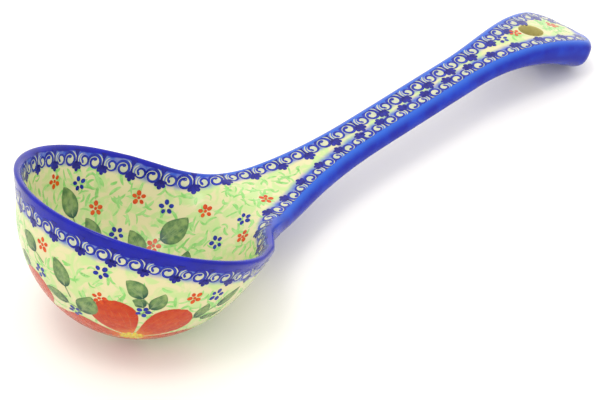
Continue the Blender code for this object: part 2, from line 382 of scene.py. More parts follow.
def rest_pose(bowl, handle):
    """Tip the upright ladle until bowl and tip stand level, and slide it into the CAD's box."""
    bowl = bowl.reshape(-1, 3)
    handle = handle.reshape(-1, 3)

    def heights(points, tilt):
        return points[:, 2] * math.cos(tilt) - points[:, 0] * math.sin(tilt)

    low, high = 0.0, STEEPEST_TILT
    while high - low > TILT_TOLERANCE:
        tilt = (low + high) / 2.0
        if heights(handle, tilt).min() > heights(bowl, tilt).min():
            low = tilt
        else:
            high = tilt
    along = np.concatenate([bowl, handle]) @ (math.cos(tilt), 0.0, math.sin(tilt))
    shift = (cad_bounds[0][0] + cad_bounds[1][0] - along.min() - along.max()) / 2.0
    drop = heights(bowl, tilt).min() + FOOT_WEAR
    return Matrix.Translation((shift, 0.0, -drop)) @ Matrix.Rotation(tilt, 4, 'Y')


class Clay:
    """The ladle's surface at rest: half rows for y >= 0, and search trees of its two sides."""

    crest_column = OUTSIDE_STEPS + LIP_STEPS - 2

    def __init__(self):
        joint = [JOINT_STATION - SEAM, JOINT_STATION, JOINT_STATION + SEAM]
        bar_end = LOFT_LENGTH - TIP_REACH
        bowl_steps = round(JOINT_STATION / STATION_STEP)
        bar_steps = round((bar_end - JOINT_STATION) / STATION_STEP)
        bowl = np.linspace(0.0, JOINT_STATION, bowl_steps + 1)[:-1]
        bar = np.linspace(JOINT_STATION, bar_end, bar_steps + 1)[1:]
        turns = np.linspace(0.0, math.pi / 2.0, TIP_STEPS + 1)[1:]
        tip = LOFT_LENGTH - TIP_REACH * (1.0 - np.sin(turns))
        behind = np.concatenate([bowl, joint, bar, tip])
        angles = np.linspace(0.0, math.pi / 2.0, FRONT_STEPS + 1)[:-1]
        upright = np.array([meridian(a) for a in angles] + [station(s) for s in behind])
        self.joint_row = len(angles) + len(bowl) + 1
        self.pose = rest_pose(upright[:self.joint_row], upright[self.joint_row:])
        self.turn = np.array(self.pose.to_3x3())
        self.rows = upright @ self.turn.T + np.array(self.pose.translation)
        self.rows[..., 2] = np.maximum(self.rows[..., 2], 0.0)
        self.crest = self.rows[:, self.crest_column]
        self.trees = {"outer": self.tree(self.rows[:, :self.crest_column + 1]),
                      "inner": self.tree(self.rows[:, self.crest_column:])}
        self.rim_centre = self.pose @ Vector((0.0, 0.0, BOWL_DEPTH))
        self.axis = self.turn[:, 2]

    @staticmethod
    def tree(rows):
        """Search tree of these columns, on both sides of the plane of symmetry."""
        n, m = rows.shape[:2]
        first = (np.arange(n - 1)[:, None] * m + np.arange(m - 1)).ravel()
        quads = np.column_stack([first, first + 1, first + m + 1, first + m])
        points = np.concatenate([rows.reshape(-1, 3), (rows * MIRROR).reshape(-1, 3)])
        faces = np.concatenate([quads, quads[:, ::-1] + n * m])
        return BVHTree.FromPolygons(points.tolist(), faces.tolist())

    def drop(self, points, side):
        """Nearest points on one side of the clay, and the normals there."""
        flat = np.asarray(points, float).reshape(-1, 3)
        found = [self.trees[side].find_nearest(point) for point in flat]
        places = np.array([hit[0] for hit in found]).reshape(np.shape(points))
        normals = np.array([hit[1] for hit in found]).reshape(np.shape(points))
        return places, normals

    def whole_crest(self):
        """Crest line from the tip, round the front of the bowl, and back to the tip."""
        return np.concatenate([self.crest[:0:-1] * MIRROR, self.crest])


def link(name, data):
    """Put a new object into the scene."""
    item = bpy.data.objects.new(name, data)
    bpy.context.scene.collection.objects.link(item)
    return item


def link_mesh(name, mesh):
    """Put a finished bmesh into the scene."""
    data = bpy.data.meshes.new(name)
    mesh.to_mesh(data)
    mesh.free()
    return link(name, data)


# -------- skins

def skin(name, rows, capped_row):
    """One closed body from half rows, mirrored across the plane of symmetry."""
    mesh = bmesh.new()
    for side in (1, -1):
        grid = [[mesh.verts.new((x, side * y, z)) for x, y, z in row] for row in rows]
        for row, following in zip(grid, grid[1:]):
            for j in range(len(row) - 1):
                corners = [row[j], row[j + 1], following[j + 1], following[j]]
                mesh.faces.new(corners if side > 0 else corners[::-1])
        cut = grid[capped_row]
        for j in range(len(cut) // 2):
            mesh.faces.new(dict.fromkeys([cut[j], cut[j + 1], cut[-j - 2], cut[-j - 1]]))
    bmesh.ops.remove_doubles(mesh, verts=mesh.verts[:], dist=MERGE_DISTANCE)
    bmesh.ops.dissolve_degenerate(mesh, edges=mesh.edges[:], dist=MERGE_DISTANCE)
    bmesh.ops.recalc_face_normals(mesh, faces=mesh.faces[:])
    return link_mesh(name, mesh)


def top_place(clay, s, across=0.0):
    """Place on the handle's top face, with +X towards the tip and +Z square to the face."""
    x, z = rim_point(s)
    return clay.pose @ Matrix.Translation((x, across, z)) @ Matrix.Rotation(-rim_heading(s), 4, 'Y')


def drill(clay):
    """Cutter for the hanging hole, with flared ends that ease both of the hole's mouths."""
    depth = outside_depth(HOLE_STATION)
    easing = [(HOLE_RADIUS + HOLE_EASING * (1.0 - math.sin(a)), -HOLE_EASING * (1.0 - math.cos(a)))
              for a in np.linspace(0.0, math.pi / 2.0, EASING_STEPS)]
    wide = HOLE_RADIUS + HOLE_EASING
    top = [(wide, HOLE_CLEARANCE)] + easing
    bottom = [(r, -depth - z) for r, z in easing[::-1]] + [(wide, -depth - HOLE_CLEARANCE)]
    turns = np.linspace(0.0, 2.0 * math.pi, HOLE_SIDES, endpoint=False)
    mesh = bmesh.new()
    rings = [[mesh.verts.new((r * math.cos(a), r * math.sin(a), z)) for a in turns]
             for r, z in top + bottom]
    for ring, lower in zip(rings, rings[1:]):
        for k in range(HOLE_SIDES):
            mesh.faces.new([ring[k], ring[k - 1], lower[k - 1], lower[k]])
    mesh.faces.new(rings[0])
    mesh.faces.new(rings[-1])
    bmesh.ops.recalc_face_normals(mesh, faces=mesh.faces[:])
    cutter = link_mesh("drill", mesh)
    cutter.matrix_world = top_place(clay, HOLE_STATION)
    return cutter


def pierce(handle, clay):
    """Cut the hanging hole through the handle."""
    cutter = drill(clay)
    cut = handle.modifiers.new("hanging_hole", 'BOOLEAN')
    cut.object = cutter
    cut.solver = 'EXACT'
    depsgraph = bpy.context.evaluated_depsgraph_get()
    handle.data = bpy.data.meshes.new_from_object(handle.evaluated_get(depsgraph))
    handle.modifiers.clear()
    bpy.data.objects.remove(cutter, do_unlink=True)


def resample(path, marks, places):
    """Points of a path at these places along its marks."""
    return np.column_stack([np.interp(places, marks, path[:, k]) for k in range(3)])


def crest_tree(clay):
    """Search tree of points spaced closely along the crest."""
    path = clay.whole_crest()
    fine = np.linspace(0, len(path) - 1, 4 * len(path))
    points = resample(path, np.arange(len(path)), fine)
    tree = KDTree(len(points))
    for k, point in enumerate(points):
        tree.insert(point, k)
    tree.balance()
    return tree


def mark_glaze(item, clay):
    """Store each point's depth in the blue band and in the bare rim, its gap to the crest, in
    millimetres, and how much of a handle the ladle is there."""
    places = np.empty(len(item.data.vertices) * 3)
    item.data.vertices.foreach_get("co", places)
    places = places.reshape(-1, 3)
    crest = crest_tree(clay)
    gap = np.array([crest.find(p)[2] for p in places]) / MM
    reach = {side: np.array([clay.trees[side].find_nearest(p)[3] for p in places])
             for side in ("inner", "outer")}
    handle = ease((places[:, 0] - NECK_BAND_START) / NECK_BAND_LENGTH)
    inside = INSIDE_BAND + (TOP_BAND - INSIDE_BAND) * handle
    outside = OUTSIDE_BAND + (UNDER_BAND - OUTSIDE_BAND) * handle**UNDER_DELAY
    blue = np.where(reach["inner"] < reach["outer"], inside - gap, outside - gap)
    axis = top_place(clay, HOLE_STATION).inverted()
    local = (places @ np.array(axis.to_3x3()).T + np.array(axis.translation)) / MM
    bare = HOLE_RADIUS / MM + HOLE_RIM - np.hypot(local[:, 0], local[:, 1])
    for name, values in (("blue", blue), ("bare", bare), ("handle", handle), ("gap", gap)):
        layer = item.data.attributes.new(name, 'FLOAT', 'POINT')
        layer.data.foreach_set("value", values.astype(np.float32))


def make_skins(clay):
    """Glazed skins that stand for the CAD's bowl and handle."""
    bowl = skin("bowl_skin", clay.rows[:clay.joint_row + 1], -1)
    handle = skin("handle_skin", clay.rows[clay.joint_row:], 0)
    pierce(handle, clay)
    material = glaze()
    for item, node in ((bowl, "bowl"), (handle, "handle")):
        mark_glaze(item, clay)
        item.data.materials.clear()
        item.data.materials.append(material)
        item.data.shade_smooth()
        item.data.set_sharp_from_angle(angle=SHARP_ANGLE)
        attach(item, "root")
        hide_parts(node)


# -------- materials

def srgb(red, green, blue):
    """Linear colour of an 8-bit screen colour."""
    parts = np.array([red, green, blue]) / 255.0
    return (*np.where(parts <= 0.04045, parts / 12.92, ((parts + 0.055) / 1.055) ** 2.4), 1.0)


def fired(red, green, blue):
    """Colour of a glaze that looks like this under the studio's over-bright light."""
    return tuple(GLAZE_SHARE * part for part in srgb(red, green, blue)[:3]) + (1.0,)


IVORY = fired(240, 232, 184)
IVORY_DEEP = fired(232, 222, 166)
GREEN_TINT = fired(196, 232, 148)
WASH = fired(48, 88, 206)
LIP_BLUE = fired(12, 22, 176)
LIP_DEEP = fired(8, 14, 150)
BAR_BLUE = fired(10, 56, 192)
BAR_DEEP = fired(10, 26, 164)
# painted highlight colour for the handle's side, by its top edge
BAR_HIGHLIGHT = fired(52, 112, 220)
CLAY = fired(222, 212, 140)
CLAY_DEEP = fired(204, 192, 116)
FLOOR_LIGHT = srgb(241, 238, 232)
FLOOR_DARK = srgb(237, 234, 228)

# Height off the clay in millimetres, screen colours of deep and thin paint, and for some the
# colour and the reach of a stroke's root
PAINTS = {
    "scroll_grounds": (0.05, (196, 206, 180), (226, 222, 180)),
    "scroll_lines": (0.065, (20, 30, 146), (40, 62, 184)),
    "palmettes": (0.065, (18, 16, 124), (30, 34, 160)),
    "blue_blossoms": (0.08, (14, 26, 138), (32, 58, 176)),
    "red_blossoms": (0.075, (214, 62, 0), (232, 94, 6)),
    "green_dashes": (0.03, (142, 214, 112), (188, 234, 150)),
    "leaves": (0.05, (84, 124, 74), (150, 178, 104), (22, 78, 64)),
    "leaf_veins": (0.07, (120, 150, 100), (150, 172, 118)),
    "stems": (0.035, (105, 140, 90), (155, 182, 120)),
    "poppy_petals": (0.045, (198, 48, 0), (212, 74, 0), (228, 114, 16), 6.0),
    "poppy_veins": (0.065, (206, 84, 36), (222, 116, 66)),
    "poppy_hearts": (0.085, (230, 195, 20), (246, 226, 60)),
}


class Shader:
    """Builds one procedural material, node by node."""

    def __init__(self, name):
        self.material = bpy.data.materials.new(name)
        self.material.use_nodes = True
        self.tree = self.material.node_tree
        self.surface = self.tree.nodes["Principled BSDF"]
        self.places = self.tree.nodes.new("ShaderNodeTexCoord").outputs["Object"]

    def put(self, node, socket, value):
        """Link an output to a node's input, or set the input to a plain value."""
        if isinstance(value, bpy.types.NodeSocket):
            self.tree.links.new(value, node.inputs[socket])
        else:
            node.inputs[socket].default_value = value

    def noise(self, scale, detail=2.0, distortion=0.0):
        node = self.tree.nodes.new("ShaderNodeTexNoise")
        self.put(node, "Vector", self.places)
        self.put(node, "Scale", scale)
        self.put(node, "Detail", detail)
        self.put(node, "Distortion", distortion)
        return node.outputs["Fac"]

    def math(self, operation, a, b=0.0, c=0.0):
        node = self.tree.nodes.new("ShaderNodeMath")
        node.operation = operation
        for k, value in enumerate((a, b, c)):
            self.put(node, k, value)
        return node.outputs[0]

    def between(self, value, low, high, start=0.0, stop=1.0):
        """Run smoothly from start to stop as the value goes from low to high."""
        node = self.tree.nodes.new("ShaderNodeMapRange")
        node.interpolation_type = 'SMOOTHSTEP'
        for k, entry in enumerate((value, low, high, start, stop)):
            self.put(node, k, entry)
        return node.outputs[0]

    def mix(self, share, a, b):
        node = self.tree.nodes.new("ShaderNodeMix")
        node.data_type = 'RGBA'
        for k, value in ((0, share), (6, a), (7, b)):
            self.put(node, k, value)
        return node.outputs[2]

    def attribute(self, name, output="Fac"):
        node = self.tree.nodes.new("ShaderNodeAttribute")
        node.attribute_name = name
        return node.outputs[output]

    def finish(self, color, roughness, height, strength, coat=0.08):
        """Join the colour, the roughness and a bump to the surface, under a clear coat."""
        bump = self.tree.nodes.new("ShaderNodeBump")
        self.put(bump, "Height", height)
        self.put(bump, "Strength", strength)
        self.put(bump, "Distance", BUMP_DEPTH)
        self.put(self.surface, "Base Color", color)
        self.put(self.surface, "Roughness", roughness)
        self.put(self.surface, "Normal", bump.outputs["Normal"])
        self.put(self.surface, "Coat Weight", coat)
        self.put(self.surface, "Coat Roughness", COAT_ROUGHNESS)
        self.put(self.surface, "Specular IOR Level", GLOSS)
        return self.material


def glaze():
    """Ivory ground with a pale green mottle, cobalt bands with a washed border, a painted highlight
    and a painted dark reflection streak on the handle's side, and a bare hole.
    """
    shader = Shader("glaze")
    handle = shader.attribute("handle")
    gap = shader.attribute("gap")
    wobble = shader.math('MULTIPLY_ADD', shader.noise(150.0), 1.4, -0.7)
    blue = shader.math('ADD', shader.attribute("blue"), wobble)
    band = shader.between(blue, *BAND_EDGE)
    patchy = shader.between(shader.noise(300.0, 3.0), 0.2, 0.7, 0.65, 1.0)
    wash = shader.math('MULTIPLY', shader.between(blue, *WASH_EDGE), patchy)
    ground = shader.mix(shader.noise(45.0), IVORY, IVORY_DEEP)
    mottle = shader.between(shader.noise(130.0, 3.0, 1.4), 0.44, 0.6, 0.0, 0.75)
    ground = shader.mix(mottle, ground, GREEN_TINT)
    ground = shader.mix(wash, ground, WASH)
    streaks = shader.between(shader.noise(110.0, 3.0), 0.3, 0.7)
    lip = shader.mix(streaks, LIP_DEEP, LIP_BLUE)
    bar = shader.mix(streaks, BAR_DEEP, BAR_BLUE)
    # painted highlight: paler blue along the handle's side by its top edge
    bar = shader.mix(shader.between(gap, *BAR_HIGHLIGHT_EDGE, 0.8, 0.0), bar, BAR_HIGHLIGHT)
    # painted dark reflection: a streak of deep cobalt lower down the handle's side
    reflection_stop = shader.between(gap, *BAR_REFLECTION_STOP, 0.85, 0.0)
    dark_reflection = shader.math('MULTIPLY', shader.between(gap, *BAR_REFLECTION_START), reflection_stop)
    bar = shader.mix(dark_reflection, bar, BAR_DEEP)
    cobalt = shader.mix(handle, lip, bar)
    color = shader.mix(band, ground, cobalt)
    bare = shader.between(shader.attribute("bare"), -0.1, 0.1)
    color = shader.mix(bare, color, shader.mix(shader.noise(500.0), CLAY_DEEP, CLAY))
    roughness = shader.between(shader.noise(90.0), 0.3, 0.7, 0.16, 0.26)
    return shader.finish(color, roughness, shader.noise(70.0, 3.0), 0.25)


def paint(name, deep, thin, root=None, root_reach=4.0):
    """Brushed underglaze paint, which pools at the edges of a stroke and breaks up where thin."""
    shader = Shader(name)
    deep = fired(*deep)
    split = shader.tree.nodes.new("ShaderNodeSeparateXYZ")
    shader.put(split, 0, shader.attribute("brush", "Vector"))
    along, across = split.outputs["X"], split.outputs["Y"]
    body = shader.between(shader.noise(420.0, 3.0), 0.3, 0.7)
    edge = shader.between(shader.math('ABSOLUTE', across), 0.55, 1.0, 0.0, 0.6)
    color = shader.mix(body, deep, fired(*thin))
    color = shader.mix(edge, color, deep)
    if root:
        near = shader.between(along, 0.2 * root_reach, root_reach, 0.9, 0.0)
        color = shader.mix(near, color, fired(*root))
    roughness = shader.between(shader.noise(300.0), 0.3, 0.7, 0.18, 0.3)
    return shader.finish(color, roughness, shader.noise(900.0, 2.0), 0.12)


# -------- brush strokes

def directions(path):
    """Unit vectors along a path, one at each of its points."""
    tangent = np.gradient(path, axis=0)
    return tangent / np.linalg.norm(tangent, axis=1, keepdims=True)


def running_length(path):
    """Length along a path up to each of its points, in millimetres."""
    steps = np.linalg.norm(np.diff(path, axis=0), axis=1) / MM
    return np.concatenate([[0.0], np.cumsum(steps)])


def strip(spine, half_widths, across_steps=LINE_ACROSS):
    """Flat strip of points round a spine, in a motif's own chart."""
    spine = np.asarray(spine, float)
    tangent = directions(spine)
    normal = np.column_stack([-tangent[:, 1], tangent[:, 0]])
    width = np.maximum(half_widths, LEAST_HALF_WIDTH)
    share = np.linspace(-1.0, 1.0, across_steps)
    return spine[:, None] + normal[:, None] * (width[:, None] * share)[..., None]


def lens(count, fullness=1.0):
    """Profile of a stroke that is widest in its middle."""
    return np.sin(math.pi * np.linspace(0.0, 1.0, count)) ** fullness


def touch(centre, half_length, half_width, angle, steps=TOUCH_STEPS, across_steps=TOUCH_ACROSS):
    """Oval touch of the brush."""
    t = np.sin(np.linspace(-0.5, 0.5, steps) * math.pi)
    direction = np.array([math.cos(angle), math.sin(angle)])
    spine = np.asarray(centre) + np.outer(t * half_length, direction)
    return strip(spine, half_width * np.sqrt(np.maximum(1.0 - t**2, 0.0)), across_steps)


class Paint:
    """Gathers strokes of one colour, and makes them one mesh of thin shells on the clay."""

    def __init__(self, clay, name, height, *colors):
        self.clay = clay
        self.name = name
        self.height = height * MM
        self.colors = colors
        self.places = []
        self.normals = []
        self.brush = []
        self.faces = []
        self.walls = []
        self.count = 0

    def add(self, chart, points):
        """Drop one strip of a chart's points onto the clay."""
        places, normals = self.clay.drop(chart.at(points), chart.side)
        n, m = places.shape[:2]
        brush = np.zeros((n, m, 3))
        brush[..., 0] = running_length(places[:, m // 2])[:, None]
        brush[..., 1] = np.linspace(-1.0, 1.0, m)
        index = np.arange(n * m).reshape(n, m) + self.count
        self.faces.append(np.stack([index[:-1, :-1], index[1:, :-1], index[1:, 1:], index[:-1, 1:]],
                                   axis=-1).reshape(-1, 4))
        edge = np.concatenate([index[:-1, 0], index[-1, :-1], index[:0:-1, -1], index[0, :0:-1]])
        self.walls.append(np.column_stack([edge, np.roll(edge, -1)]))
        self.places.append(places.reshape(-1, 3))
        self.normals.append(normals.reshape(-1, 3))
        self.brush.append(brush.reshape(-1, 3))
        self.count += n * m

    def build(self):
        """Make one object of all the strokes, as shells with a top, an underside and edges."""
        places = np.concatenate(self.places)
        normals = np.concatenate(self.normals)
        tops = np.concatenate(self.faces)
        walls = np.concatenate(self.walls)
        under = self.count
        walls = np.column_stack([walls[:, 1], walls[:, 0], walls[:, 0] + under, walls[:, 1] + under])
        points = np.concatenate([places + normals * self.height, places - normals * SINK])
        faces = np.concatenate([tops, tops[:, ::-1] + under, walls])
        data = bpy.data.meshes.new(self.name)
        data.from_pydata(points.tolist(), [], faces.tolist())
        brush = np.concatenate(self.brush + self.brush)
        data.attributes.new("brush", 'FLOAT_VECTOR', 'POINT').data.foreach_set(
            "vector", brush.astype(np.float32).ravel())
        data.shade_smooth()
        data.set_sharp_from_angle(angle=SHARP_ANGLE)
        data.materials.append(paint(self.name, *self.colors))
        item = link(self.name, data)
        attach(item, "root")


# -------- charts

LAST_CELL = 1.001           # keeps a point within the last cell of its grid
LEAST_UP = 0.05             # below this the clay is too level to show where the lip is


class Band:
    """Chart of the clay beside the crest, in millimetres.

    u runs along the row on which the scrolls stand, to the right as one looks at the painted
    side with the lip above, and v runs away from the crest. Rows are the lowest and the highest v.
    """

    def __init__(self, clay, side, rows, scroll_row):
        path = clay.whole_crest()
        if side == "outer":
            path = path[::-1]
        marks = running_length(path)
        path = resample(path, marks, np.arange(0.0, marks[-1], 1.0))
        self.side = side
        self.low = rows[0]
        self.behind = path[:, 0]
        self.sheet = self.spread(clay, path, rows)
        self.marks = running_length(self.sheet[:, scroll_row - self.low])

    def spread(self, clay, path, rows):
        """Lay rows of points a millimetre apart on the clay, to both sides of the path."""
        tangent = directions(path)
        sheets = {0: clay.drop(path, self.side)[0]}
        for way, count in ((-1, -rows[0]), (1, rows[1])):
            place, normal = clay.drop(path, self.side)
            for k in range(1, count + 1):
                inward = np.cross(tangent, normal)
                inward /= np.linalg.norm(inward, axis=1, keepdims=True)
                place, normal = clay.drop(place + way * inward * MM, self.side)
                sheets[way * k] = place
        return np.stack([sheets[k] for k in range(rows[0], rows[1] + 1)], axis=1)

    def behind_at(self, u):
        """How far behind the foot the crest is beside u, in metres."""
        return np.interp(u, self.marks, self.behind)

    def at(self, chart):
        """Space points for chart points in millimetres."""
        u = np.interp(chart[..., 0], self.marks, np.arange(len(self.marks)))
        u = np.clip(u, 0.0, len(self.sheet) - LAST_CELL)
        v = np.clip(chart[..., 1] - self.low, 0.0, self.sheet.shape[1] - LAST_CELL)
        i, j = u.astype(int), v.astype(int)
        a, b = (u - i)[..., None], (v - j)[..., None]
        near = (1 - a) * self.sheet[i, j] + a * self.sheet[i + 1, j]
        far = (1 - a) * self.sheet[i, j + 1] + a * self.sheet[i + 1, j + 1]
        return (1 - b) * near + b * far


class Spot:
    """Flat chart that touches the clay at one spot, in millimetres."""

    def __init__(self, centre, right, up, side, turn):
        turn = math.radians(turn)
        self.centre = np.array(centre)
        self.side = side
        self.right = right * math.cos(turn) + up * math.sin(turn)
        self.up = up * math.cos(turn) - right * math.sin(turn)

    def at(self, chart):
        return self.centre + (chart[..., :1] * self.right + chart[..., 1:] * self.up) * MM


def bowl_spot(clay, side, bearing, drop, turn=0.0):
    """Spot on the bowl, seen from the rim's centre, with +y towards the lip."""
    bearing = math.radians(bearing)
    drop = math.radians(drop)
    level = math.cos(drop)
    aim = (math.cos(bearing) * level, math.sin(bearing) * level, -math.sin(drop))
    aim = Vector(clay.turn @ aim)
    if side == "inner":
        hit, normal = clay.trees[side].ray_cast(clay.rim_centre, aim)[:2]
    else:
        hit, normal = clay.trees[side].ray_cast(clay.rim_centre + aim * LOFT_LENGTH, -aim)[:2]
    normal = np.array(normal)
    up = clay.axis - normal * (clay.axis @ normal)
    if np.linalg.norm(up) < LEAST_UP:
        up = clay.turn[:, 0]
    up = up / np.linalg.norm(up)
    return Spot(hit, np.cross(up, normal), up, side, turn)


def top_spot(clay, behind, across, turn=0.0):
    """Spot on the handle's top face, with +x towards the tip."""
    place = top_place(clay, behind * MM, across * MM)
    axes = np.array(place.to_3x3())
    return Spot(place.translation, axes[:, 0], axes[:, 1], "inner", turn)


# -------- border

def coil(centre, radius, inner_radius, start, sweep):
    """Spine of a scroll that winds inwards."""
    t = np.linspace(0.0, 1.0, COIL_STEPS)
    r = radius + (inner_radius - radius) * t**2.0
    angle = start + sweep * t
    return np.column_stack([centre[0] + r * np.cos(angle), centre[1] + r * np.sin(angle)])


def scroll_grounds():
    """Pale patches inside the scrolls, and pale brackets round them."""
    grounds = [touch(centre, radius, radius, 0.0, ARC_STEPS, DISC_ACROSS) for centre, radius in (
        (CURL_CENTRE, CURL_RADIUS - GROUND_INSET), (RING_CENTRE, RING_RADIUS - GROUND_INSET))]
    for side, centre, reach in ((-1.0, CURL_CENTRE, CURL_BRACKET), (1.0, RING_CENTRE, RING_BRACKET)):
        angle = math.pi * (1.0 - side) / 2.0 + np.linspace(-1.2, 1.2, ARC_STEPS)
        spine = np.asarray(centre) + reach * np.column_stack([np.cos(angle), np.sin(angle)])
        grounds.append(strip(spine, 0.26 * lens(ARC_STEPS, 0.35)))
    return grounds


def scroll_pair():
    """Line strokes between two palmettes: an open curl and a bold ring."""
    quarter = math.pi / 2.0
    curl = coil(CURL_CENTRE, CURL_RADIUS, 0.5, quarter * 1.5, -quarter * 4.3)
    ring = coil(RING_CENTRE, RING_RADIUS, 0.85, -quarter * 2.1, quarter * 5.6)
    t = np.linspace(0.0, 1.0, COIL_STEPS)
    thin = np.interp(t, (0, 0.25, 0.85, 0.95, 1), (0.25, 0.46, 0.46, 0.9, 0.4))
    bold = np.interp(t, (0, 0.15, 0.85, 0.95, 1), (0.35, 0.62, 0.52, 0.95, 0.4))
    return [strip(curl, thin), strip(ring, bold)]


def palmette():
    """Strokes of one palmette: a waisted stem over a fan of five lobes."""
    stem = np.column_stack([np.zeros(ARC_STEPS), np.linspace(-1.6, 5.2, ARC_STEPS)])
    width = np.interp(np.linspace(0.0, 1.0, ARC_STEPS), (0, 0.4, 0.75, 1), (1.5, 0.35, 0.5, 1.2))
    strokes = [strip(stem, width, TOUCH_ACROSS)]
    t = np.linspace(0.0, 1.0, TOUCH_STEPS)
    swell = np.interp(t, (0, 0.3, 0.72, 0.9, 1), (0.4, 0.6, 1.0, 0.9, 0.4))
    for angle, length, width in PALMETTE_LOBES:
        spine = np.column_stack([np.sin(angle) * t, np.cos(angle) * t]) * length + (0.0, LOBES_START)
        strokes.append(strip(spine, width * swell, TOUCH_ACROSS))
    return strokes


def run_border(band, layers, start, stop, repeat, bowl_offset, handle_offset, stretch):
    """Stamp the border along the band, with its own distance from the crest on bowl and handle."""
    stamps = ((palmette(), "palmettes", 0.0), (scroll_grounds(), "scroll_grounds", 0.5),
              (scroll_pair(), "scroll_lines", 0.5))
    size = repeat / STAMP_WIDTH
    for u in np.arange(start, stop, repeat):
        for strokes, name, shift in stamps:
            for stroke in strokes:
                shape = stroke * size
                shape[..., 0] += u + shift * repeat
                handle = ease((band.behind_at(shape[..., 0]) - NECK_BAND_START) / NECK_BAND_LENGTH)
                offset = bowl_offset + (handle_offset - bowl_offset) * handle
                shape[..., 1] = offset + shape[..., 1] * (1.0 + (stretch - 1.0) * handle)
                layers[name].add(band, shape)


# -------- motifs

def blossom(spot, layers, name, random):
    """Five touches in a ring, with one more in the middle of a red blossom."""
    start = random.uniform(0.0, 2.0 * math.pi)
    for k in range(PETALS):
        angle = start + 2.0 * math.pi * (k + random.uniform(-0.08, 0.08)) / PETALS
        reach = BLOSSOM_REACH * random.uniform(0.93, 1.07)
        half_length, half_width = np.array(BLOSSOM_TOUCH) * random.uniform(0.88, 1.1)
        centre = (reach * math.cos(angle), reach * math.sin(angle))
        layers[name].add(spot, touch(centre, half_length, half_width, angle))
    if name == "red_blossoms":
        layers[name].add(spot, touch((0.0, 0.0), *BLOSSOM_HEART, start))


def leaf(spot, layers, length, half_width):
    """Leaf that grows from the spot towards +y, with its veins and a thin stem behind it."""
    t = np.linspace(0.0, 1.0, LEAF_STEPS)
    spine = np.column_stack([4.0 * LEAF_BEND * (t - t**2), t * length])
    width = half_width * np.sin(math.pi * t**0.8) ** 0.75
    layers["leaves"].add(spot, strip(spine, width, LEAF_ACROSS))
    shown = slice(1, LEAF_STEPS * 3 // 4)
    for share in LEAF_VEINS:
        vein = spine[shown].copy()
        vein[:, 0] += share * width[shown] * np.linspace(0.1, 1.0, len(vein))
        layers["leaf_veins"].add(spot, strip(vein, 0.13 * lens(len(vein), 0.5)))
    t = np.linspace(0.0, 1.0, TOUCH_STEPS)
    tail = np.column_stack([-0.5 * LEAF_BEND * t**2, -LEAF_STEM * t])
    layers["stems"].add(spot, strip(tail, np.full(TOUCH_STEPS, 0.3)))


def petal(spot, layers, angle, length, half_width):
    """Broad petal, narrow at the flower's heart, with pale veins."""
    t = np.linspace(0.0, 1.0, LEAF_STEPS)
    along = np.array([math.cos(angle), math.sin(angle)])
    aside = np.array([-along[1], along[0]])
    spine = np.outer(HEART_RADIUS + t * length, along)
    width = half_width * np.sin(math.pi * (0.1 + 0.9 * t) ** 1.6) ** 0.6
    layers["poppy_petals"].add(spot, strip(spine, width, PETAL_ACROSS))
    shown = slice(1, LEAF_STEPS * 3 // 4)
    for share in PETAL_VEINS:
        vein = spine[shown] + np.outer(share * width[shown], aside)
        layers["poppy_veins"].add(spot, strip(vein, 0.12 * lens(len(vein), 0.4)))


def poppy(spot, layers, start, length, half_width):
    """Poppy seen from the front, with a heart of touches."""
    for angle in np.arange(PETALS) * 360.0 / PETALS + start:
        petal(spot, layers, math.radians(angle), length, half_width)
    for ring, count, size in HEART_RINGS:
        for k in range(count):
            angle = 2.0 * math.pi * (k + ring / 4.0) / count
            centre = (ring * math.cos(angle), ring * math.sin(angle))
            layers["poppy_hearts"].add(spot, touch(centre, HEART_TOUCH_STRETCH * size, size, angle))


def dashes(layer, random, count, allowed, pick, *where):
    """Scatter short bent dashes of thin green over the ivory ground."""
    placed = 0
    while placed < count:
        spot = pick(*where)
        if not allowed(spot.centre):
            continue
        length = random.uniform(*DASH_LENGTHS)
        bend = random.uniform(-DASH_BEND, DASH_BEND)
        t = np.linspace(-0.5, 0.5, TOUCH_STEPS)
        spine = np.column_stack([t * length, bend * (4.0 * t**2 - 1.0)])
        width = random.uniform(*DASH_HALF_WIDTHS) * lens(TOUCH_STEPS, 0.4)
        layer.add(spot, strip(spine, width))
        placed += 1


# Lowest and highest row of each side's chart, and the row its scrolls stand on
BAND_ROWS = {"inner": ((-5, 14), 2), "outer": ((-1, 20), 8)}
# Side, start, stop, repeat, offset from the crest on the bowl and on the handle, handle's stretch
BORDERS = (("inner", 19.7, 145.0, 13.3, 3.4, -0.8, 0.95),
           ("inner", 151.8, 352.0, 12.4, 3.4, -0.8, 0.95),
           ("inner", 362.3, 525.0, 12.1, 3.4, -0.2, 1.1),
           ("inner", 531.7, 696.0, 13.5, 3.4, -0.2, 1.1),
           ("outer", 227.4, 483.0, 12.0, 6.2, 6.2, 1.0))
# Bearing round the bowl, 0 towards the handle, and drop below the rim, in degrees
RED_INSIDE = ((96, 16), (67, 28), (45, 18), (11, 12), (-17, 12), (28, 38),
              (158, 24), (-168, 34), (-128, 22), (-84, 28))
BLUE_INSIDE = ((79, 17), (30, 18), (52, 38), (-9, 6), (-5, 22),
               (176, 18), (-146, 20), (-104, 34), (-66, 18))
RED_OUTSIDE = ((178, 20), (-148, 33), (-104, 21), (166, 57), (118, 22), (74, 20), (28, 34), (-38, 30))
BLUE_OUTSIDE = ((175, 35), (-150, 19), (-162, 49), (-125, 34), (-92, 19),
                (132, 30), (96, 32), (44, 24), (-54, 38), (0, 50))
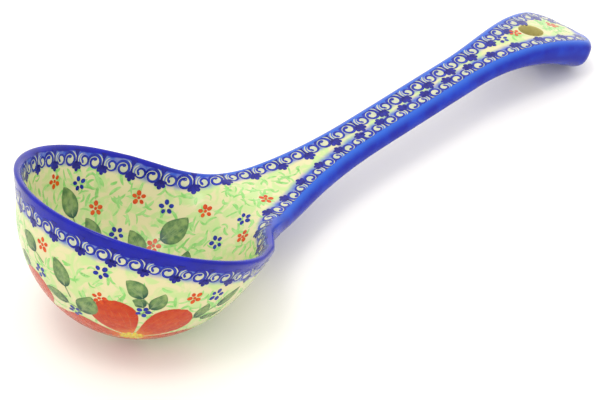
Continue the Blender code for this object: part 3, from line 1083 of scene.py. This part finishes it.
# Base's bearing and drop, turn, length and half width
LEAVES_INSIDE = ((81, 34, 27, 13.5, 3.9), (26, 34, -28, 14, 4.7), (33, 46, 42, 12, 3.6),
                 (64, 45, 33, 11, 3.2), (5, 45, 10, 10, 3.2), (-178, 44, 30, 12, 3.8),
                 (-150, 40, -30, 13, 4.2), (-118, 46, 35, 12, 3.8), (-92, 44, -25, 12, 3.8))
LEAVES_OUTSIDE = ((173, 26, 64, 9.9, 3.2), (164, 37, 74, 8.1, 2.8), (-167, 35, 28, 12.5, 3.6),
                  (-166, 45, 83, 10.9, 2.9), (-158, 47, -20, 11.9, 4.4), (-128, 26, 56, 10.3, 3.5),
                  (-123, 31, -19, 9.1, 3.1), (-126, 31, 66, 5.4, 2.2), (-86, 26, -41, 11.2, 2.7),
                  (-95, 34, -9, 8.5, 2.8), (-90, 34, -79, 11.0, 2.0), (108, 34, 40, 11.5, 3.6),
                  (101, 37, -35, 10.5, 3.4), (112, 40, 75, 9.0, 3.0), (27, 46, 55, 11.0, 3.4),
                  (20, 47, -25, 10.0, 3.2), (-44, 42, 35, 11.5, 3.6), (-50, 44, -40, 10.0, 3.2))
# Side, bearing, drop, turn of the first petal, petals' length and half width
POPPIES = (("outer", -119, 57.6, 64, 26.0, 9.6), ("outer", 150, 62, 50, 22.6, 8.6),
           ("outer", 56, 58, 20, 22.6, 8.6), ("inner", 0, 89, 0, 17.0, 6.5))
# Colour, distance behind the bowl's centre, and place across the handle's top face
TOP_BLOSSOMS = (("red_blossoms", 215.9, 1.9), ("blue_blossoms", 206.9, 1.5),
                ("red_blossoms", 242.0, 1.5), ("red_blossoms", 59.4, -6.0))
# Count, and range of drops, or of distances behind the bowl's centre with the reach across
BOWL_DASHES = ((760, "inner", (2.0, 80.0)), (560, "outer", (18.0, 70.0)))
TOP_DASHES = ((60, (50.0, 85.0), 20.0), (36, (212.0, 250.0), 12.0))


def paint_borders(clay, layers):
    """Stamped borders beside the lip, inside and outside."""
    bands = {side: Band(clay, side, *rows) for side, rows in BAND_ROWS.items()}
    for side, *run in BORDERS:
        run_border(bands[side], layers, *run)


def paint_motifs(clay, layers, random):
    """Blossoms, leaves and poppies on the bowl, and blossoms on the handle's top face."""
    for side, reds, blues, sprigs in (("inner", RED_INSIDE, BLUE_INSIDE, LEAVES_INSIDE),
                                      ("outer", RED_OUTSIDE, BLUE_OUTSIDE, LEAVES_OUTSIDE)):
        for name, places in (("red_blossoms", reds), ("blue_blossoms", blues)):
            for bearing, drop in places:
                blossom(bowl_spot(clay, side, bearing, drop), layers, name, random)
        for bearing, drop, turn, *shape in sprigs:
            leaf(bowl_spot(clay, side, bearing, drop, turn), layers, *shape)
    for side, bearing, drop, *shape in POPPIES:
        poppy(bowl_spot(clay, side, bearing, drop), layers, *shape)
    for name, behind, across in TOP_BLOSSOMS:
        blossom(top_spot(clay, behind, across), layers, name, random)


def scatter_dashes(clay, layer, random):
    """Green dashes over the ground, clear of the border and the hole."""
    crest = crest_tree(clay)
    hole = np.array(top_place(clay, HOLE_STATION).translation)

    def allowed(place):
        off_hole = np.linalg.norm(place - hole) > HOLE_RADIUS + DASH_OFF_HOLE * MM
        return crest.find(place)[2] > DASH_OFF_CREST * MM and off_hole

    def in_bowl(side, drops):
        drop = math.degrees(math.asin(random.uniform(*np.sin(np.radians(drops)))))
        return bowl_spot(clay, side, random.uniform(-180.0, 180.0), drop, random.uniform(0.0, 360.0))

    def on_top(stations, reach):
        across = random.uniform(-reach, reach)
        return top_spot(clay, random.uniform(*stations), across, random.uniform(0.0, 360.0))

    for count, *where in BOWL_DASHES:
        dashes(layer, random, count, allowed, in_bowl, *where)
    for count, *where in TOP_DASHES:
        dashes(layer, random, count, allowed, on_top, *where)


def paint_clay(clay):
    """All of the painting, one object for each kind of stroke."""
    random = np.random.default_rng(SEED)
    layers = {name: Paint(clay, name, *look) for name, look in PAINTS.items()}
    paint_borders(clay, layers)
    paint_motifs(clay, layers, random)
    scatter_dashes(clay, layers["green_dashes"], random)
    for layer in layers.values():
        layer.build()


# -------- stage

def make_floor():
    """Pale floor that the ladle stands on."""
    mesh = bmesh.new()
    bmesh.ops.create_grid(mesh, x_segments=FLOOR_CELLS, y_segments=FLOOR_CELLS, size=FLOOR_SIZE)
    floor = link_mesh("floor", mesh)
    shader = Shader("pale_floor")
    color = shader.mix(shader.noise(3.0), FLOOR_LIGHT, FLOOR_DARK)
    floor.data.materials.append(shader.finish(color, 0.7, shader.noise(200.0), 0.02, coat=0.0))


def make_key_light(centre):
    """Round soft light from high above the bowl's front."""
    data = bpy.data.lights.new("key_light", 'AREA')
    data.shape = 'DISK'
    data.size = KEY_SIZE
    data.energy = KEY_POWER
    lamp = link("key_light", data)
    lamp.location = centre + KEY_PLACE
    lamp.rotation_euler = (centre - lamp.location).to_track_quat('-Z', 'Y').to_euler()


def make_world():
    """Even white light from all round."""
    world = bpy.data.worlds.new("studio")
    bpy.context.scene.world = world
    world.use_nodes = True
    background = world.node_tree.nodes["Background"]
    background.inputs["Color"].default_value = (1.0, 1.0, 1.0, 1.0)
    background.inputs["Strength"].default_value = WORLD_STRENGTH


def make_camera(centre):
    """Camera at the photograph's viewing angle."""
    level = math.cos(CAMERA_ELEVATION)
    back = Vector((math.sin(CAMERA_AZIMUTH) * level, -math.cos(CAMERA_AZIMUTH) * level,
                   math.sin(CAMERA_ELEVATION)))
    data = bpy.data.cameras.new("camera")
    data.lens = CAMERA_LENS
    camera = link("camera", data)
    camera.location = centre + CAMERA_SHIFT + back * CAMERA_DISTANCE
    camera.rotation_euler = (-back).to_track_quat('-Z', 'Y').to_euler()
    bpy.context.scene.camera = camera


def main():
    bpy.context.scene.view_settings.view_transform = 'Standard'
    centre = (cad_bounds[0] + cad_bounds[1]) / 2.0
    clay = Clay()
    make_skins(clay)
    paint_clay(clay)
    make_floor()
    make_world()
    make_key_light(centre)
    make_camera(centre)


main()
